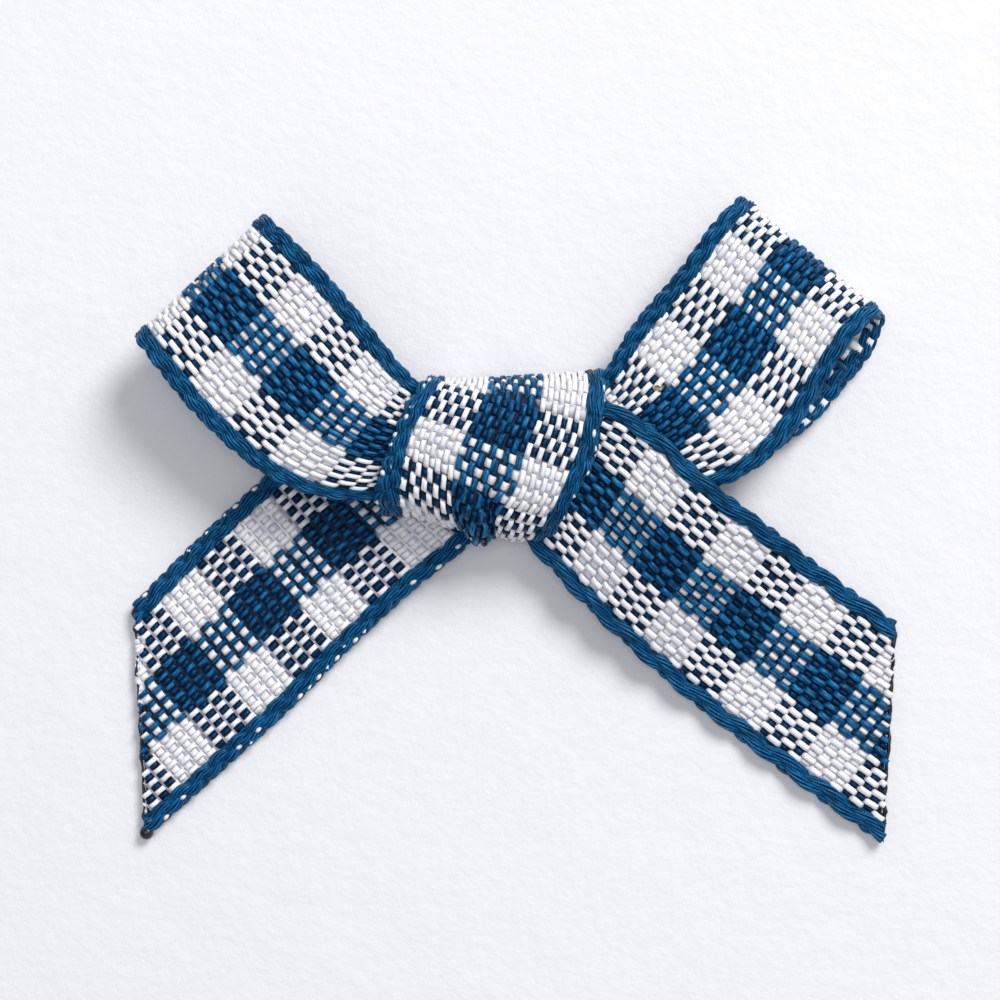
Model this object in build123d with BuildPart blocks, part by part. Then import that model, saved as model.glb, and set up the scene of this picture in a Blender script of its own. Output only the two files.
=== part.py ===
from build123d import *
import os
from math import cos, radians, sin

# A small gift bow tied from one length of narrow checked ribbon, lying on its back.
# +Z is up, out of the bow's face; +X runs towards the right loop; +Y towards the tops of the loops.
# The origin is the middle of the knot's back face. All sizes are in millimetres, angles in degrees.

# ---- ribbon -------------------------------------------------------------------------------
ribbon_width = 6.5        # over both selvedges
band_thickness = 0.25     # the checked weave between the selvedges
cord_width = 0.6          # one selvedge: a bundle of cord-like warp ends
cord_thickness = 0.4
weave_gap = 0.03          # between the band and its cords, so that curved faces don't cross
layer_gap = 0.12          # least air between two layers of ribbon
root_gap = 0.1            # air between the wrap's back and the lowest layer inside it
lowest_root = 1.5 * cord_thickness + root_gap

# ---- knot wrap ----------------------------------------------------------------------------
wrap_span = 5.4           # between the middles of its two outer ends
wrap_tilt = -4.7          # direction from the left end to the right one
wrap_left_length = 4.95   # the wrap is a cone-like ring, shorter at its left end
wrap_left_lean = 73.0
wrap_right_length = 6.7
wrap_right_lean = 67.0
wrap_height = 3.4
wrap_corner = 1.0
wrap_back_flat = 0.03     # how much of its back is pressed flat
cord_rise = 0.08          # how far a wrap cord stands above the band on the front
mouth_ease = 0.35         # keeps what goes inside clear of the oval's round corners
core_start = 0.3          # the crossing inside fills the wrap between these shares of its span
core_end = 0.7
core_corner = 0.8
inner_margin = 0.2        # share of the span by which a ring's hollow is drawn past its ends
tuck_width = 0.55         # the pleat at the bottom of the front
tuck_length = 2.3
tuck_rise = 0.3
tuck_lean = 105.0         # its direction in plan, from its foot
tuck_place = 0.66         # share of the span at the tuck's lower end

# ---- loops: reach and shift place the middle of the fold from the knot ----------------------
left_loop_angle = 133.3
left_loop_reach = 11.1
left_loop_shift = 3.15
left_loop_turn = 6.3      # from the fold to where the edges turn into the knot
left_fold_top = 3.2
left_fold_bottom = 0.85
left_root_front = 2.4
left_root_back = 1.3
left_profile_bend = 8.5   # from the fold to where the layers level out

right_loop_angle = 50.4
right_loop_reach = 12.4
right_loop_shift = -4.45
right_loop_turn = 6.2
right_fold_top = 2.5
right_fold_bottom = 0.45
right_root_front = 1.6
right_root_back = lowest_root
right_profile_bend = 7.5

profile_radius = 6.0      # of each gentle bend, seen edge on
fold_roundness = 0.94     # share of a fold's half height that is round
entry_radius = 1.2        # of the edges where they turn into the knot

# Where each edge turns into the wrap, from its mouth along the span, and how far it runs on inside.
left_upper_entry = -0.6
left_lower_entry = -1.8
right_upper_entry = 0.6
right_lower_entry = 2.4
inner_run = 3.0
fold_margin = 1.0         # how far an outline is drawn past its fold

# ---- tails --------------------------------------------------------------------------------
right_tail_angle = -38.2
right_tail_length = 14.3  # along its middle, from the knot
right_tail_slant = 4.4    # how much further the lower corner reaches than the upper one
right_tail_drop = 0.45    # its middle leaves this far below the middle of the wrap's end
right_tail_root_height = 2.85
right_tail_shoulder = 6.0     # it stays high up to here, over the right loop
right_tail_shoulder_height = 2.45
right_tail_touchdown = 10.8
right_tail_lead = 5.0     # how far its outline is drawn back under the wrap
right_tail_ease = 0.1     # from the line where it flexes to its first edge
tongue_taper = 0.4        # how much narrower its gathered root is, each side, at the core

left_tail_angle = 222.0
left_tail_length = 8.7    # along its middle, beyond the loop's edge, where it flexes
left_tail_slant = 5.0
left_tail_bend = 6.55     # from the knot to the line where it flexes
left_tail_shift = -1.25
left_tail_root_height = lowest_root
left_tail_touchdown = 3.0
left_tail_root_half = 1.0     # half the width of the gathered root inside the wrap
left_tail_lead = 1.0      # how far its outline is drawn back past the line where it flexes
left_root_upper_turn = 1.5    # from that line to where each covered edge turns to the wrap
left_root_lower_turn = 3.2
left_root_upper_entry = -1.2
left_root_lower_entry = -1.4
left_root_below_entry = -0.4  # its lower edge passes below the wrap's end here
left_root_radius = 0.5

flex_gap = 0.3            # length of ribbon left free at a line of flexing
bead_radius = 0.28        # melted bead at a lower corner; the end lies this high
small_bead_radius = 0.2
seal_width = 0.18         # melted line along the cut
seal_thickness = 0.34

# ---- droplet ------------------------------------------------------------------------------
droplet_radius = 0.17
droplet_from_fold = 6.9   # along the right loop
droplet_shift = -1.2
droplet_gap = 0.02

sky = 12.0                # taller than anything here
overhead = 40.0           # where a tail's profile closes, above the sky
beyond = 18.0             # longer than any stretch
half_width = ribbon_width / 2
cord_line = half_width - cord_width / 2


def heading(angle):
    """Unit vector in plan at an angle from +X."""
    return Vector(cos(radians(angle)), sin(radians(angle)), 0)


def plan_frame(angle, reach, shift, facing):
    """Frame in plan: reach and shift place its origin from the knot, x points along facing."""
    middle = heading(angle) * reach + heading(angle + 90) * shift
    return Plane(origin=middle, x_dir=heading(facing), z_dir=(0, 0, 1))


def edge_on(frame):
    """Vertical plane along a plan frame's x, for a profile drawn as (distance, height)."""
    return Plane(origin=frame.origin, x_dir=frame.x_dir, z_dir=-frame.y_dir)


def spot(frame, along, across):
    """Point in plan at a distance along and across a frame."""
    return frame.from_local_coords(Vector(along, across, 0))


def mouth(share):
    """Vertical plane across the wrap at a share of its span; its x runs up the ring in plan."""
    lean = wrap_left_lean + (wrap_right_lean - wrap_left_lean) * share
    middle = heading(wrap_tilt) * wrap_span * (share - 0.5)
    along = heading(lean)
    return Plane(origin=middle, x_dir=along, z_dir=(along.Y, -along.X, 0))


def ring_length(share):
    """Length of the wrap's oval at a share of its span."""
    return wrap_left_length + (wrap_right_length - wrap_left_length) * share


def inside(plane, up, depth):
    """Point in plan in a mouth: up the ring, and depth in along the wrap's span."""
    return plane.origin + plane.x_dir * up + heading(wrap_tilt) * depth


# ---- the wrap, the crossing inside it and the tuck -------------------------------------------
cord_share = cord_width / wrap_span
gap_share = weave_gap / wrap_span
mouth_wall = cord_thickness + layer_gap + mouth_ease + cord_width / 2


def ring(start, end, wall, rise):
    """Ring between two shares of the span: outer ovals lofted, less inner ones."""
    with BuildPart() as body:
        for share in (start, end):
            with BuildSketch(mouth(share)):
                with Locations((0, (wrap_height + rise - wrap_back_flat) / 2)):
                    RectangleRounded(
                        ring_length(share), wrap_height + rise + wrap_back_flat, wrap_corner
                    )
        loft(ruled=True)
        split(bisect_by=Plane.XY, keep=Keep.TOP)
        for share in (start - inner_margin, end + inner_margin):
            with BuildSketch(mouth(share)):
                with Locations((0, (wrap_height + rise) / 2)):
                    RectangleRounded(
                        ring_length(share) - 2 * wall, wrap_height + rise - 2 * wall, wrap_corner - wall
                    )
        loft(ruled=True, mode=Mode.SUBTRACT)
    return body.part


tuck_mouth = mouth(tuck_place)
tuck_foot = tuck_mouth.origin - tuck_mouth.x_dir * (ring_length(tuck_place) / 2)
tuck_middle = tuck_foot + heading(tuck_lean) * (tuck_length / 2 - tuck_rise)

with BuildPart() as tuck:
    for tuck_share in (0, 1):
        with BuildSketch(mouth(tuck_share)):
            with Locations((0, (wrap_height + tuck_rise) / 2)):
                RectangleRounded(
                    ring_length(tuck_share) + 2 * tuck_rise, wrap_height + tuck_rise, wrap_corner + tuck_rise
                )
    loft(ruled=True)
    with BuildSketch(Plane.XY.offset(wrap_height / 2)):
        with Locations(tuck_middle):
            SlotOverall(tuck_length, tuck_width, rotation=tuck_lean)
    extrude(amount=wrap_height, mode=Mode.INTERSECT)
    for tuck_share in (0, 1):
        with BuildSketch(mouth(tuck_share)):
            with Locations((0, wrap_height / 2)):
                RectangleRounded(
                    ring_length(tuck_share) - band_thickness,
                    wrap_height - band_thickness,
                    wrap_corner - band_thickness / 2,
                )
    loft(ruled=True, mode=Mode.SUBTRACT)

with BuildPart() as knot_wrap_band:
    add(ring(cord_share + gap_share, 1 - cord_share - gap_share, band_thickness, 0))
    add(tuck.part)

with BuildPart() as knot_wrap_left_selvedge:
    add(ring(0, cord_share, cord_thickness, cord_rise))

with BuildPart() as knot_wrap_right_selvedge:
    add(ring(1 - cord_share, 1, cord_thickness, cord_rise))

with BuildPart() as knot_core:
    core_wall = band_thickness + layer_gap
    for core_share in (core_start, core_end):
        with BuildSketch(mouth(core_share)):
            with Locations((0, wrap_height / 2)):
                RectangleRounded(
                    ring_length(core_share) - 2 * core_wall, wrap_height - 2 * core_wall, core_corner
                )
    loft(ruled=True)


# ---- stretches of ribbon -------------------------------------------------------------------
def rounded_line(points, radii):
    """Straight runs with rounded corners, drawn in the current BuildLine."""
    if len(points) == 2:
        return Line(*points)
    return FilletPolyline(*points, radius=radii)


def edge_sketch(points, radii, width):
    """A cord seen from above: its line given a width."""
    with BuildSketch() as sketch:
        with BuildLine():
            rounded_line(points, radii)
            offset(amount=width / 2)
        make_face()
    return sketch.sketch


def band_sketch(first, first_radii, second, second_radii):
    """The band seen from above: all between the two cord lines, less the cords."""
    with BuildSketch() as sketch:
        with BuildLine():
            one = rounded_line(first, first_radii)
            other = rounded_line(second, second_radii)
            Line(one @ 0, other @ 0)
            Line(one @ 1, other @ 1)
        make_face()
        add(edge_sketch(first, first_radii, cord_width + 2 * weave_gap), mode=Mode.SUBTRACT)
        add(edge_sketch(second, second_radii, cord_width + 2 * weave_gap), mode=Mode.SUBTRACT)
    return sketch.sketch


def edge_on_shape(profile, profile_radii, thickness):
    """In the current sketch: even thickness round the profile's outline."""
    with BuildLine() as outline:
        FilletPolyline(*profile, radius=profile_radii, close=True)
    shape = make_face(outline.line)
    offset(shape, amount=thickness / 2)
    offset(shape, amount=-thickness / 2, mode=Mode.SUBTRACT)


def stretch(frame, profile, profile_radii, outline, thickness, cutters):
    """One piece of ribbon: its edge-on profile drawn across, kept inside its outline from above."""
    with BuildPart() as piece:
        with BuildSketch(edge_on(frame).offset(-beyond)):
            edge_on_shape(profile, profile_radii, thickness)
        extrude(amount=2 * beyond)
        with BuildSketch():
            add(outline)
        extrude(amount=sky, mode=Mode.INTERSECT)
        for cutter in cutters:
            split(bisect_by=cutter, keep=Keep.TOP)
    return piece.part


def facing_back(plane):
    """The same plane with its normal turned round, so that split keeps the other side."""
    return Plane(origin=plane.origin, x_dir=-plane.x_dir, z_dir=-plane.z_dir)


def moved(plane, distance):
    """The same plane moved along its own normal."""
    return plane.offset(distance)


pieces = {}


def add_stretch(names, frame, profile, profile_radii, edges, cutters):
    """A band and its two selvedge cords, cut to length by the same planes."""
    (first, first_radii), (second, second_radii) = edges
    outlines = (
        (names[0], band_sketch(first, first_radii, second, second_radii), band_thickness),
        (names[1], edge_sketch(first, first_radii, cord_width), cord_thickness),
        (names[2], edge_sketch(second, second_radii, cord_width), cord_thickness),
    )
    for name, outline, thickness in outlines:
        pieces[name] = stretch(frame, profile, profile_radii, outline, thickness, cutters)


def hairpin(top, bottom, front, back, bend):
    """Edge-on profile of a loop, from its front root round the fold to its back root."""
    points = [(beyond, front), (bend, front), (0, top), (0, bottom), (bend, back), (beyond, back)]
    fold_radius = (top - bottom) / 2 * fold_roundness
    return points, (0, profile_radius, fold_radius, fold_radius, profile_radius, 0)


def tail_profile(root, shoulder, shoulder_height, touchdown):
    """Edge-on profile of a tail, closed far overhead: level, over a shoulder and down to its end."""
    points = [
        (-beyond, overhead),
        (-beyond, root),
        (shoulder, shoulder_height),
        (touchdown, bead_radius),
        (beyond * 2, bead_radius),
        (beyond * 2, overhead),
    ]
    return points, (0, 0, profile_radius, profile_radius, 0, 0)


# Left loop: the frame's x points from the fold into the knot, its y to the upper edge.
left_loop = plan_frame(left_loop_angle, left_loop_reach, left_loop_shift, left_loop_angle - 180)
left_mouth = mouth(0)
left_mouth_half = wrap_left_length / 2 - mouth_wall
left_core_face = mouth(core_start - layer_gap / wrap_span)
left_upper = [
    spot(left_loop, -fold_margin, cord_line),
    spot(left_loop, left_loop_turn, cord_line),
    inside(left_mouth, left_mouth_half, left_upper_entry),
    inside(left_mouth, left_mouth_half, inner_run),
]
left_lower = [
    spot(left_loop, -fold_margin, -cord_line),
    spot(left_loop, left_loop_turn, -cord_line),
    inside(left_mouth, -left_mouth_half, left_lower_entry),
    inside(left_mouth, -left_mouth_half, inner_run),
]
left_profile, left_profile_radii = hairpin(
    left_fold_top, left_fold_bottom, left_root_front, left_root_back, left_profile_bend
)
add_stretch(
    ("left_loop_band", "left_loop_upper_selvedge", "left_loop_lower_selvedge"),
    left_loop,
    left_profile,
    left_profile_radii,
    ((left_upper, entry_radius), (left_lower, entry_radius)),
    [facing_back(left_core_face)],
)

# Right loop: the frame's x points from the fold into the knot, its y to the lower edge.
right_loop = plan_frame(right_loop_angle, right_loop_reach, right_loop_shift, right_loop_angle - 180)
right_mouth = mouth(1)
right_mouth_half = wrap_right_length / 2 - mouth_wall
right_core_face = mouth(core_end + layer_gap / wrap_span)
right_upper = [
    spot(right_loop, -fold_margin, -cord_line),
    spot(right_loop, right_loop_turn, -cord_line),
    inside(right_mouth, right_mouth_half, right_upper_entry),
    inside(right_mouth, right_mouth_half, -inner_run),
]
right_lower = [
    spot(right_loop, -fold_margin, cord_line),
    spot(right_loop, right_loop_turn, cord_line),
    inside(right_mouth, -right_mouth_half, right_lower_entry),
    inside(right_mouth, -right_mouth_half, -inner_run),
]
right_profile, right_profile_radii = hairpin(
    right_fold_top, right_fold_bottom, right_root_front, right_root_back, right_profile_bend
)
add_stretch(
    ("right_loop_band", "right_loop_upper_selvedge", "right_loop_lower_selvedge"),
    right_loop,
    right_profile,
    right_profile_radii,
    ((right_upper, entry_radius), (right_lower, entry_radius)),
    [right_core_face],
)


# ---- tails ---------------------------------------------------------------------------------
def cut_plane(frame, length, slant, lower):
    """Vertical plane of a slanted cut, its normal pointing off the end; lower is the sign of
    the frame's y on the side that reaches further."""
    near = spot(frame, length - slant / 2, -lower * half_width)
    far = spot(frame, length + slant / 2, lower * half_width)
    along = (far - near).normalized()
    outward = Vector(along.Y, -along.X, 0) * lower
    return Plane(origin=(near + far) / 2, x_dir=along, z_dir=outward), near, far


def sealed_edge(cut, near, far):
    """The melted line along a cut, with a small bead at its near corner and a larger one at its far."""
    along = (far - near).normalized()
    middle = cut.origin
    length = (far - near).length - cord_width / 2
    with BuildPart() as seal:
        with BuildSketch(Plane(origin=middle, x_dir=along).offset(bead_radius - seal_thickness / 2)):
            Rectangle(length, 2 * seal_width)
        extrude(amount=seal_thickness)
        for side, radius in ((-1, small_bead_radius), (1, bead_radius)):
            with Locations(middle + along * (side * length / 2) + Vector(0, 0, bead_radius)):
                Sphere(radius)
        split(bisect_by=cut, keep=Keep.TOP)
    return seal.part


# Right tail: x runs along it from the wrap's right end, y to its upper edge.
right_tail_middle = right_mouth.origin + heading(wrap_tilt) * flex_gap
right_tail = Plane(
    origin=right_tail_middle - Vector(0, right_tail_drop, 0),
    x_dir=heading(right_tail_angle),
    z_dir=(0, 0, 1),
)
right_tail_profile, right_tail_radii = tail_profile(
    right_tail_root_height, right_tail_shoulder, right_tail_shoulder_height, right_tail_touchdown
)
right_cut, right_near, right_far = cut_plane(right_tail, right_tail_length, right_tail_slant, -1)
right_tail_edges = (
    ([spot(right_tail, -right_tail_lead, cord_line), spot(right_tail, beyond * 2, cord_line)], 0),
    ([spot(right_tail, -right_tail_lead, -cord_line), spot(right_tail, beyond * 2, -cord_line)], 0),
)
right_tail_start = moved(right_mouth, flex_gap + right_tail_ease)
add_stretch(
    ("right_tail_band", "right_tail_upper_selvedge", "right_tail_lower_selvedge"),
    right_tail,
    right_tail_profile,
    right_tail_radii,
    right_tail_edges,
    [right_tail_start, facing_back(moved(right_cut, -weave_gap))],
)
pieces["right_tail_sealed_edge"] = sealed_edge(right_cut, right_near, right_far)

# The gathered root of the right tail, under the wrap.
with BuildPart() as right_tail_root:
    tongue_half = right_mouth_half - cord_width
    root_start = mouth(core_end + layer_gap / wrap_span)
    with BuildSketch(Plane.XY.offset(right_tail_root_height - band_thickness / 2)):
        with BuildLine():
            Polyline(
                inside(root_start, tongue_half - tongue_taper, 0),
                inside(right_mouth, tongue_half, 0),
                inside(right_mouth, -tongue_half, 0),
                inside(root_start, tongue_taper - tongue_half, 0),
                close=True,
            )
        make_face()
    extrude(amount=band_thickness)
pieces["right_tail_root"] = right_tail_root.part

# Left tail: x runs along it from the line where it flexes, y to its lower edge.
left_tail = plan_frame(left_tail_angle, left_tail_bend, left_tail_shift, left_tail_angle)
left_tail_profile, left_tail_radii = tail_profile(
    left_tail_root_height, -left_tail_touchdown, left_tail_root_height, left_tail_touchdown
)
left_cut, left_near, left_far = cut_plane(left_tail, left_tail_length, left_tail_slant, 1)
left_tail_edges = (
    ([spot(left_tail, -left_tail_lead, -cord_line), spot(left_tail, beyond, -cord_line)], 0),
    ([spot(left_tail, -left_tail_lead, cord_line), spot(left_tail, beyond, cord_line)], 0),
)
left_flex = Plane(origin=left_tail.origin, x_dir=left_tail.y_dir, z_dir=left_tail.x_dir)
add_stretch(
    ("left_tail_band", "left_tail_upper_selvedge", "left_tail_lower_selvedge"),
    left_tail,
    left_tail_profile,
    left_tail_radii,
    left_tail_edges,
    [moved(left_flex, flex_gap / 2), facing_back(moved(left_cut, -weave_gap))],
)
pieces["left_tail_sealed_edge"] = sealed_edge(left_cut, left_near, left_far)

# The covered root of the left tail: full width under the loop's edge, gathered into the wrap.
below_wrap = -(wrap_left_length / 2 + layer_gap + cord_width)
left_root_upper = [
    spot(left_tail, left_tail_lead, -cord_line),
    spot(left_tail, -left_root_upper_turn, -cord_line),
    inside(left_mouth, left_tail_root_half, left_root_upper_entry),
    inside(left_mouth, left_tail_root_half, inner_run),
]
left_root_lower = [
    spot(left_tail, left_tail_lead, cord_line),
    spot(left_tail, -left_root_lower_turn, cord_line),
    inside(left_mouth, below_wrap, left_root_below_entry),
    inside(left_mouth, -left_tail_root_half, left_root_lower_entry),
    inside(left_mouth, -left_tail_root_half, inner_run),
]
left_root_cuts = [moved(facing_back(left_flex), flex_gap / 2), facing_back(left_core_face)]
add_stretch(
    ("left_tail_root_band", "left_tail_root_upper_selvedge", "left_tail_root_lower_selvedge"),
    left_tail,
    left_tail_profile,
    left_tail_radii,
    ((left_root_upper, entry_radius), (left_root_lower, left_root_radius)),
    left_root_cuts,
)
pieces["left_tail_root_lower_selvedge"] = stretch(
    left_tail,
    left_tail_profile,
    left_tail_radii,
    edge_sketch(left_root_lower[:2], 0, cord_width),
    cord_thickness,
    left_root_cuts,
)

# ---- droplet on the right loop, beside the knot ----------------------------------------------
slope = (right_fold_top - right_root_front) / right_profile_bend
droplet_surface = right_root_front + (right_profile_bend - droplet_from_fold) * slope + band_thickness / 2
droplet_place = spot(right_loop, droplet_from_fold, droplet_shift)
with BuildPart() as glue_droplet:
    with Locations(droplet_place + Vector(0, 0, droplet_surface + droplet_gap + droplet_radius)):
        Sphere(droplet_radius)
pieces["glue_droplet"] = glue_droplet.part

pieces["knot_wrap_band"] = knot_wrap_band.part
pieces["knot_wrap_left_selvedge"] = knot_wrap_left_selvedge.part
pieces["knot_wrap_right_selvedge"] = knot_wrap_right_selvedge.part
pieces["knot_core"] = knot_core.part

# ---- flexing lines, printed for the record --------------------------------------------------
right_flex_axis = -right_mouth.x_dir
left_flex_axis = -left_tail.y_dir
left_flex_height = (left_tail_root_height + bead_radius) / 2
right_flex_place = moved(right_mouth, flex_gap).origin + Vector(0, 0, right_tail_root_height)
print("right flex", right_flex_place, right_flex_axis)
print("left flex", left_tail.origin + Vector(0, 0, left_flex_height), left_flex_axis)

os.makedirs("parts", exist_ok=True)
for name, piece in pieces.items():
    piece.label = name
    export_step(piece, f"parts/{name}.step")
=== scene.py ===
import math

import bpy
import numpy as np
from bpy.props import FloatProperty, FloatVectorProperty, IntProperty, PointerProperty
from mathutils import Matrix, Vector


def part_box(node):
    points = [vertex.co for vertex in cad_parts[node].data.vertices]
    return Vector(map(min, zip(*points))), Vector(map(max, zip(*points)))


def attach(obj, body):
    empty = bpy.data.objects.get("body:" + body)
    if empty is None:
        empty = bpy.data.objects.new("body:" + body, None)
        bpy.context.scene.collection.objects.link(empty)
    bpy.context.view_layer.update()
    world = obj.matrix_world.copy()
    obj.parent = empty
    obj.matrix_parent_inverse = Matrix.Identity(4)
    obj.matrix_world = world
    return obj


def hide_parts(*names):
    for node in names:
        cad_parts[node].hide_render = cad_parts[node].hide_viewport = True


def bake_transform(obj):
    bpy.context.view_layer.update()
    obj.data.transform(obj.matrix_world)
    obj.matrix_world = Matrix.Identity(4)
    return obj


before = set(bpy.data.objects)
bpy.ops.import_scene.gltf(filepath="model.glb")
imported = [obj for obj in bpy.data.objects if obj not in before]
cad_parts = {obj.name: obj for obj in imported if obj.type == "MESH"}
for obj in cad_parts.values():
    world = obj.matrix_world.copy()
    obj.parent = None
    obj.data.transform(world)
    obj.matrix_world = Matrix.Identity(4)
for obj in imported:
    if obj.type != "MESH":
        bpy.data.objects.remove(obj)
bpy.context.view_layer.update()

bl_info = {
    "name": "Checked Gift Bow",
    "version": (1, 0, 0),
    "blender": (4, 5, 0),
    "location": "View3D > Sidebar > Gift Bow",
    "description": "Weaves a small ribbon bow yarn by yarn, with its loops, knot, tails and sealed ends",
    "category": "Object",
}

# The ribbon is woven flat and then laid along each stretch. Flat places are in millimetres:
# along the ribbon, across it from its middle, and up from its middle layer to its face.
MM = 0.001
WEAVE_SEED = 7
BETWEEN_EDGES = 5.9  # from the middle of one selvedge to the middle of the other
YARN_SIDES, YARN_SQUARENESS = 8, 0.6  # of a warp end's or a pick's section; 1.0 is an ellipse


# ---- how each stretch lies ---------------------------------------------------------------------
def natural_spline(knots, values, at):
    """A natural cubic spline through values at knots, with straight ends."""
    n = len(knots)
    gap = np.diff(knots)
    flat = values.reshape(n, -1)
    matrix, right = np.eye(n), np.zeros((n, flat.shape[1]))
    for i in range(1, n - 1):
        matrix[i, i - 1 : i + 2] = gap[i - 1], 2 * (gap[i - 1] + gap[i]), gap[i]
        right[i] = 6 * ((flat[i + 1] - flat[i]) / gap[i] - (flat[i] - flat[i - 1]) / gap[i - 1])
    bend = np.linalg.solve(matrix, right)
    at = np.asarray(at, float)
    i = np.clip(np.searchsorted(knots, at, side="right") - 1, 0, n - 2)
    a, b, g = at - knots[i], knots[i + 1] - at, gap[i]
    inside = (at >= knots[0]) & (at <= knots[-1])
    a, b, g = a[:, None], b[:, None], g[:, None]
    line = (flat[i] * b + flat[i + 1] * a) / g
    curve = bend[i] * (b**3 / g - g * b) / 6 + bend[i + 1] * (a**3 / g - g * a) / 6
    slope_low = (flat[1] - flat[0]) / gap[0] - gap[0] * (2 * bend[0] + bend[1]) / 6
    slope_high = (flat[-1] - flat[-2]) / gap[-1] + gap[-1] * (bend[-2] + 2 * bend[-1]) / 6
    low = flat[0] + (at - knots[0])[:, None] * slope_low
    high = flat[-1] + (at - knots[-1])[:, None] * slope_high
    out = np.where(inside[:, None], line + curve, np.where((at < knots[0])[:, None], low, high))
    return out.reshape((len(at),) + values.shape[1:])


class Lie:
    """A stretch of ribbon as it lies: a smooth surface through rows of points across it."""

    FINE_ALONG, FINE_ACROSS = 900, 73
    SPARE = 0.1  # how far the surface runs on past the lines of the selvedges, as a share

    def __init__(self, rows, face_up, between, closed=False, relief=None):
        rows = np.array(rows, float)
        if closed:
            count = len(rows)
            rows = np.concatenate([rows, rows, rows, rows[:1]])
        steps = np.linalg.norm(np.diff(rows, axis=0), axis=2).mean(1)
        knots = np.concatenate([[0], np.cumsum(steps)])
        low, high = (knots[count], knots[2 * count]) if closed else (knots[0], knots[-1])
        self.across = np.linspace(-self.SPARE, 1 + self.SPARE, self.FINE_ACROSS)
        along = np.linspace(low, high, self.FINE_ALONG)
        middle = natural_spline(knots, rows.mean(1), along)
        run = np.concatenate([[0], np.cumsum(np.linalg.norm(np.diff(middle, axis=0), axis=1))])
        self.length = run[-1]
        along = np.interp(np.linspace(0, self.length, self.FINE_ALONG), run, along)
        guides = natural_spline(knots, rows, along)
        columns = np.linspace(0, 1, rows.shape[1])
        surface = natural_spline(columns, guides.transpose(1, 0, 2), self.across)
        self.place = surface.transpose(1, 0, 2)
        self.between = between
        self.face_up = face_up
        self.closed = closed
        self.normal = self.normals()
        if relief:
            self.place = self.place + self.normal * relief(self.place)[..., None] * face_up
            self.normal = self.normals()

    def normals(self):
        lengthways = np.gradient(self.place, axis=0)
        if self.closed:
            seam = (self.place[1] - self.place[-2]) / 2
            lengthways[0] = lengthways[-1] = seam
        found = np.cross(lengthways, np.gradient(self.place, axis=1))
        found /= np.linalg.norm(found, axis=2, keepdims=True)
        return found * self.face_up

    def lay(self, along, across, up):
        """Where flat places come to lie, in metres."""
        a = np.asarray(along) / self.length * (self.FINE_ALONG - 1)
        if self.closed:
            a = a % (self.FINE_ALONG - 1)
        share = np.asarray(across) / self.between + 0.5
        c = (share + self.SPARE) / (1 + 2 * self.SPARE) * (self.FINE_ACROSS - 1)
        a, c = np.clip(a, 0, self.FINE_ALONG - 1.001), np.clip(c, 0, self.FINE_ACROSS - 1.001)
        i, j = a.astype(int), c.astype(int)
        p, q = (a - i)[..., None], (c - j)[..., None]

        def read(grid):
            near = grid[i, j] * (1 - q) + grid[i, j + 1] * q
            far = grid[i + 1, j] * (1 - q) + grid[i + 1, j + 1] * q
            return near * (1 - p) + far * p

        return (read(self.place) + read(self.normal) * np.asarray(up)[..., None]) * MM

    def find(self, x, y, above=0.0):
        """The flat place (along, across) whose plan position is nearest to x, y, over a height."""
        away = np.hypot(self.place[..., 0] - x, self.place[..., 1] - y)
        away = np.where(self.place[..., 2] < above, away + 50, away)
        i, j = np.unravel_index(np.argmin(away), away.shape)
        return i / (self.FINE_ALONG - 1) * self.length, (self.across[j] - 0.5) * self.between


def in_frame(origin, angle):
    """Gives a function that turns (along, across, height) by a plan frame into x, y, z."""
    c, s = math.cos(math.radians(angle)), math.sin(math.radians(angle))

    def turned(u, v, z):
        return (origin[0] + u * c - v * s, origin[1] + u * s + v * c, z)

    return turned


def rungs(place, table):
    """Rows of three points across the ribbon: one edge, the crowned middle and the other edge.
    Each line of the table holds u, v of one edge, u, v of the other, the height, the crown and,
    where the ribbon lies aslant, how far the other edge is above the first one."""
    rows = []
    for ua, va, ub, vb, height, crown, *slant in table:
        rise = slant[0] if slant else 0.0
        ends = place(ua, va, height), place(ub, vb, height + rise)
        middle = place((ua + ub) / 2, (va + vb) / 2, height + rise / 2 + crown)
        rows.append((ends[0], middle, ends[1]))
    return rows


# Where each table's frame stands in plan, and the way that the stretch runs from there in degrees.
LEFT_LOOP_FRAME = (-9.905, 5.918), -46.7
RIGHT_LOOP_FRAME = (11.333, 6.718), -129.6
RIGHT_TAIL_FRAME = (2.99, -0.696), -38.2
LEFT_TAIL_FRAME = (-5.704, -3.454), 222.0
LEFT_LOOP = (
    (10.6, 5.0, 10.9, 1.1, 2.45, 0.1),
    (9.4, 4.0, 10.0, -0.1, 2.45, 0.15),
    (8.3, 3.0, 9.0, -1.35, 2.45, 0.25),
    (7.2, 2.75, 7.7, -2.25, 2.5, 0.3),
    (5.9, 2.8, 6.3, -2.75, 2.6, 0.25),
    (4.2, 2.92, 4.4, -2.98, 2.78, 0.12),
    (2.5, 2.98, 2.6, -2.98, 2.95, 0.04),
    (1.1, 2.95, 1.15, -2.86, 3.02, 0.0),
    (0.32, 2.9, 0.34, -2.8, 2.7, 0.0),
    (0.0, 2.88, 0.0, -2.75, 2.02, 0.0),
    (0.32, 2.88, 0.34, -2.78, 1.34, 0.0),
    (1.1, 2.88, 1.15, -2.83, 1.02, 0.0),
    (2.6, 2.88, 2.7, -2.9, 1.04, 0.0),
    (4.5, 2.86, 4.9, -2.85, 1.14, 0.0),
    (6.3, 2.75, 7.0, -2.4, 1.22, 0.0),
    (8.2, 2.9, 9.0, -1.2, 1.3, 0.0),
    (9.4, 3.9, 10.2, -0.3, 1.3, 0.0),
    (10.6, 4.9, 11.1, 0.5, 1.3, 0.0),
)
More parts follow.
